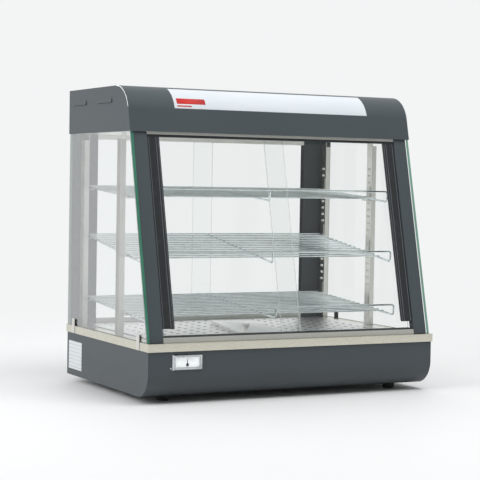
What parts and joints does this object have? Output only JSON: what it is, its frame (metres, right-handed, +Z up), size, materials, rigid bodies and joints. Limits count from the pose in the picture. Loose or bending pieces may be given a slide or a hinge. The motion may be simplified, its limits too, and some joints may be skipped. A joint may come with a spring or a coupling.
{
  "type": "hot food display case",
  "caption": "Countertop heated display case with slanted sliding glass doors, sloping wire shelves, a water tray and a lit header.",
  "frame": {"origin": "centre of the footprint at the counter, under the rubber feet", "axes": "+Z up, the slanted customer side faces -Y, +X to the right seen from the customer side"},
  "size_m": [0.66, 0.438, 0.624],
  "materials": {
    "slate_paint": "satin dark slate-grey powder coat",
    "galvanised_sheet": "dull zinc-coated sheet",
    "rubber": "black moulded rubber",
    "stainless": "fine brushed stainless steel",
    "track_aluminium": "satin anodised profile",
    "black_plastic": "black extruded and moulded plastic",
    "clear_glass": "clear toughened glass with green edges",
    "chrome_wire": "bright chromed wire",
    "chrome_trim": "bright chromed bezel",
    "dial_face": "pearly white printed dial",
    "heater_sheath": "heat-darkened metal sheath",
    "ceramic": "glazed off-white ceramic",
    "red_plastic": "glossy red moulding",
    "amber_plastic": "glossy amber moulding",
    "white_plastic": "glossy white moulding",
    "sign_acrylic": "glossy translucent white acrylic",
    "lamp_glass": "frosted white tube with metal end caps",
    "label_film": "blank satin label film",
    "screw_steel": "plain steel screw heads"
  },
  "bodies": {
    "case": {"base_front_panel": "slate_paint", "base_side_left": "slate_paint", "base_side_right": "slate_paint", "base_rear_panel": "slate_paint", "base_floor": "galvanised_sheet", "feet": "rubber", "deck": "stainless", "floor_plates": "stainless", "heater_pan": "galvanised_sheet", "heating_element": "heater_sheath", "element_supports": "galvanised_sheet", "terminal_block": "ceramic", "thermostat_body": "ceramic", "power_switch": "black_plastic", "light_switch": "black_plastic", "pilot_lamp": "amber_plastic", "cable_gland": "black_plastic", "gauge_body": "chrome_trim", "gauge_dial": "dial_face", "gauge_lens": "clear_glass", "rating_plate": "label_film", "side_glass_left": "clear_glass", "side_glass_right": "clear_glass", "glass_clips": "stainless", "clip_pads": "rubber", "front_post_left": "slate_paint", "front_post_right": "slate_paint", "door_channels": "black_plastic", "front_lower_track": "track_aluminium", "front_upper_track": "track_aluminium", "front_track_liners": "black_plastic", "rear_post_left": "slate_paint", "rear_post_right": "slate_paint", "rear_tracks": "track_aluminium", "front_uprights": "stainless", "rear_uprights": "stainless", "shelf_clips": "stainless", "header_side_left": "slate_paint", "header_side_right": "slate_paint", "header_cover": "slate_paint", "header_rear": "slate_paint", "header_ceiling": "stainless", "sign_panel": "sign_acrylic", "lamp_tube": "lamp_glass", "lamp_holders": "white_plastic", "screws": "screw_steel"},
    "front_door_left": {"front_door_left": "clear_glass"},
    "front_door_right": {"front_door_right": "clear_glass"},
    "rear_door_left": {"rear_door_left": "clear_glass"},
    "rear_door_right": {"rear_door_right": "clear_glass"},
    "top_shelf": {"shelf_top": "chrome_wire"},
    "middle_shelf": {"shelf_middle": "chrome_wire"},
    "bottom_shelf": {"shelf_bottom": "chrome_wire"},
    "tray": {"water_tray": "stainless"},
    "tray_lid": {"tray_cover": "stainless", "tray_knob": "white_plastic"},
    "knob": {"thermostat_knob": "black_plastic"},
    "power_key": {"power_rocker": "red_plastic"},
    "light_key": {"light_rocker": "black_plastic"},
    "needle": {"gauge_needle": "black_plastic"}
  },
  "joints": [
    {"name": "front_door_left_slide", "type": "slide", "parent": "case", "child": "front_door_left", "axis": [1, 0, 0], "range_m": [0, 0.264]},
    {"name": "front_door_right_slide", "type": "slide", "parent": "case", "child": "front_door_right", "axis": [1, 0, 0], "range_m": [-0.264, 0]},
    {"name": "rear_door_left_slide", "type": "slide", "parent": "case", "child": "rear_door_left", "axis": [1, 0, 0], "range_m": [0, 0.243]},
    {"name": "rear_door_right_slide", "type": "slide", "parent": "case", "child": "rear_door_right", "axis": [1, 0, 0], "range_m": [-0.243, 0]},
    {"name": "top_shelf_lift", "type": "slide", "parent": "case", "child": "top_shelf", "axis": [0, 0, 1], "range_m": [0, 0.03]},
    {"name": "middle_shelf_lift", "type": "slide", "parent": "case", "child": "middle_shelf", "axis": [0, 0, 1], "range_m": [0, 0.03]},
    {"name": "bottom_shelf_lift", "type": "slide", "parent": "case", "child": "bottom_shelf", "axis": [0, 0, 1], "range_m": [0, 0.03]},
    {"name": "tray_lift", "type": "slide", "parent": "case", "child": "tray", "axis": [0, 0, 1], "range_m": [0, 0.008]},
    {"name": "tray_lid_lift", "type": "slide", "parent": "tray", "child": "tray_lid", "axis": [0, 0, 1], "range_m": [0, 0.01]},
    {"name": "thermostat_turn", "type": "hinge", "parent": "case", "child": "knob", "pos_m": [-0.12, 0.195, 0.042], "axis": [0, 1, 0], "range_deg": [0, 270]},
    {"name": "power_press", "type": "hinge", "parent": "case", "child": "power_key", "pos_m": [-0.04, 0.194, 0.042], "axis": [1, 0, 0], "range_deg": [0, 16]},
    {"name": "light_press", "type": "hinge", "parent": "case", "child": "light_key", "pos_m": [0, 0.194, 0.042], "axis": [1, 0, 0], "range_deg": [0, 16]},
    {"name": "needle_turn", "type": "hinge", "parent": "case", "child": "needle", "pos_m": [-0.243, -0.2157, 0.077], "axis": [0, 1, 0], "range_deg": [-65, 65]}
  ]
}
